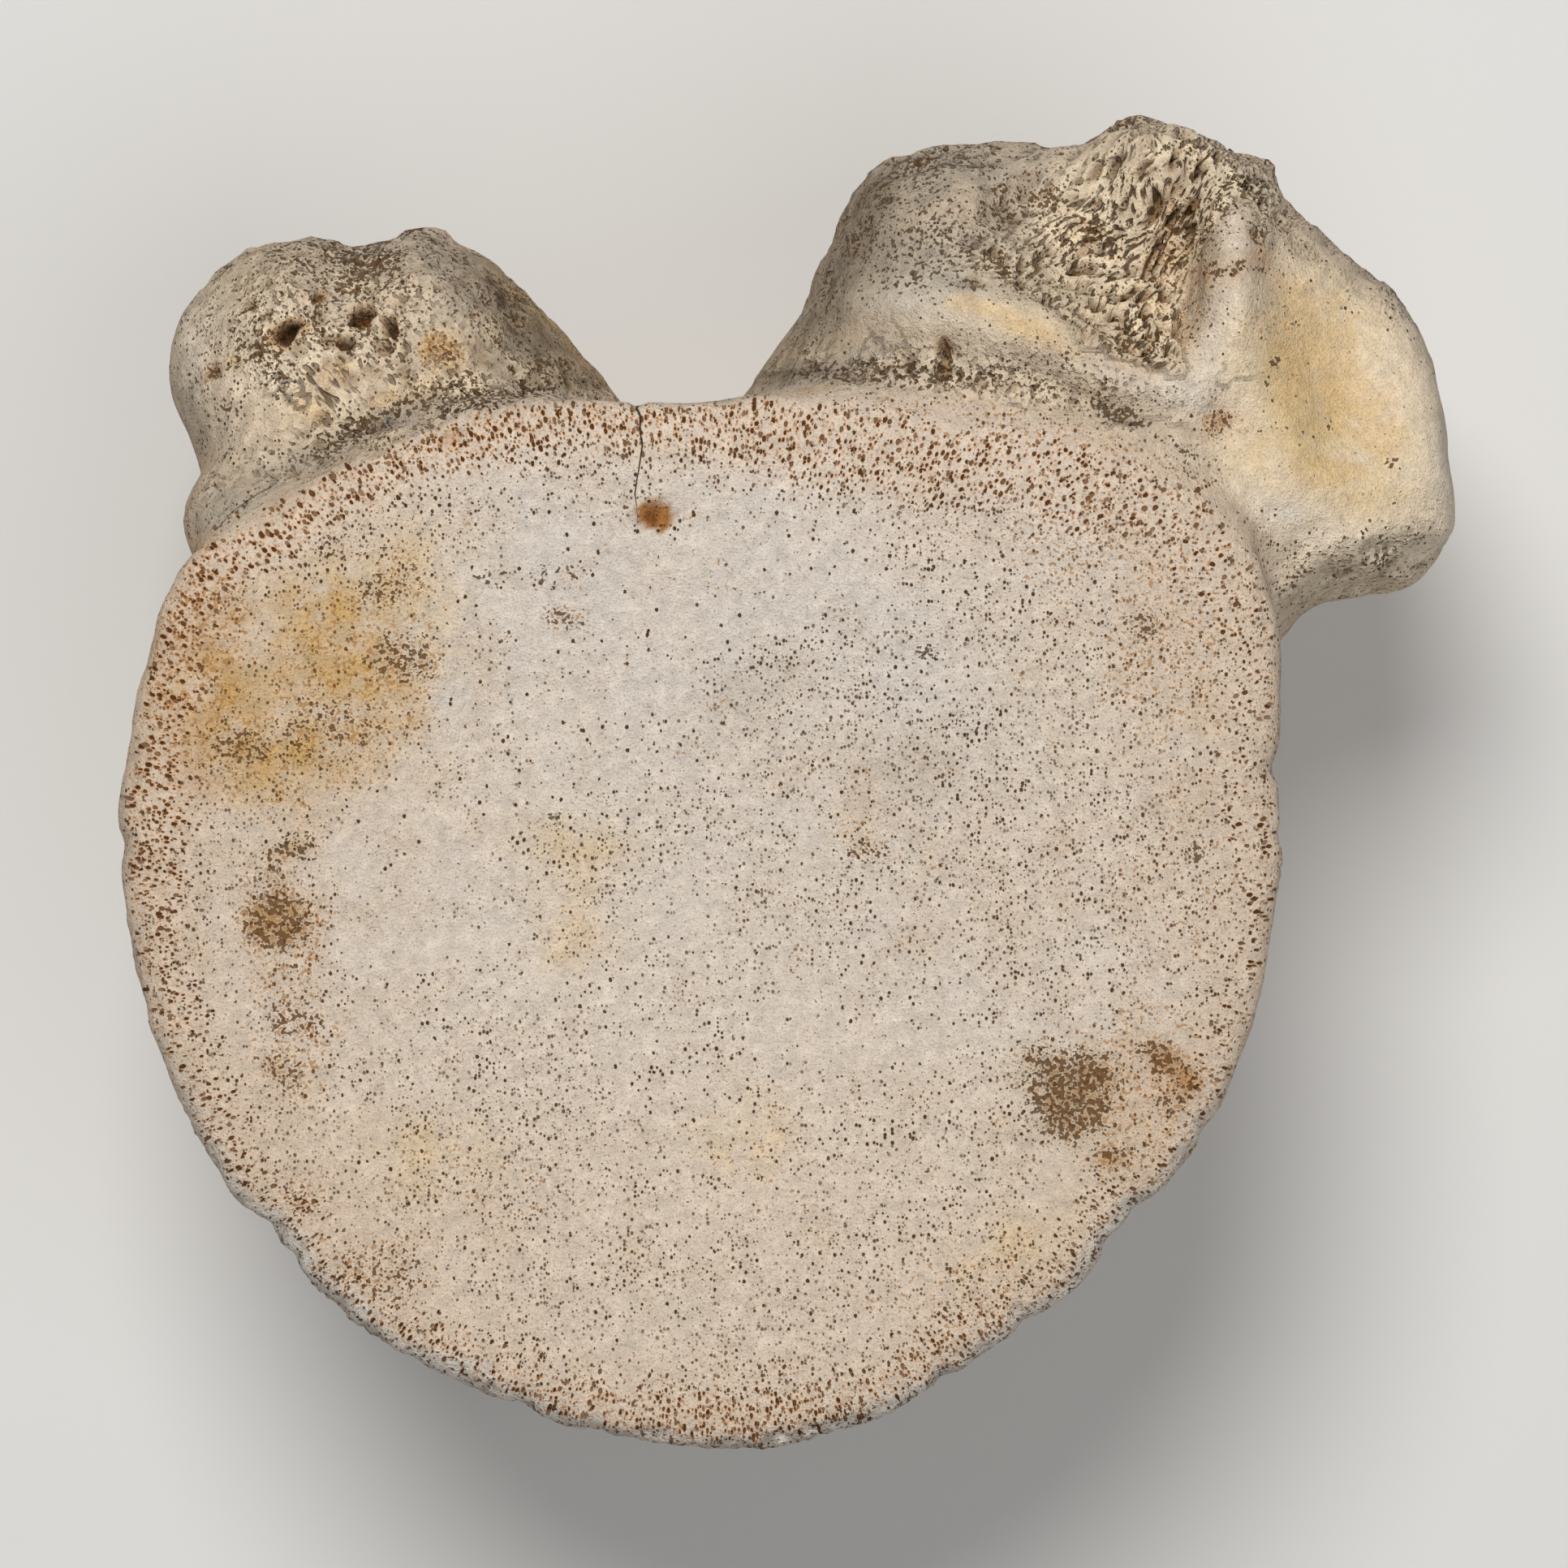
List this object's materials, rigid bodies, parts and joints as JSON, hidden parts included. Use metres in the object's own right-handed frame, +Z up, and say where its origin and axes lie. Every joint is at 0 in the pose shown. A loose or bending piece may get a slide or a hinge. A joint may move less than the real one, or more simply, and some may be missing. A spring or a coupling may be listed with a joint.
{
  "type": "fossil plesiosaur vertebra",
  "caption": "Fossil plesiosaur trunk vertebra lying face up: a waisted drum of porous bone with broken neural arch stumps over an open canal and the root of one side process.",
  "frame": {"origin": "bottom centre of the bounds, on the plane that the rear articular face rests on", "axes": "+Z up through the centrum, from its rear to its front articular face; +Y towards the neural arch; +X towards the side that keeps its transverse process"},
  "size_m": [0.0876, 0.087, 0.0521],
  "materials": {
    "fossil_bone": "matt porous fossil bone, ivory to ochre"
  },
  "bodies": {
    "root": {"vertebra": "fossil_bone"}
  },
  "joints": []
}
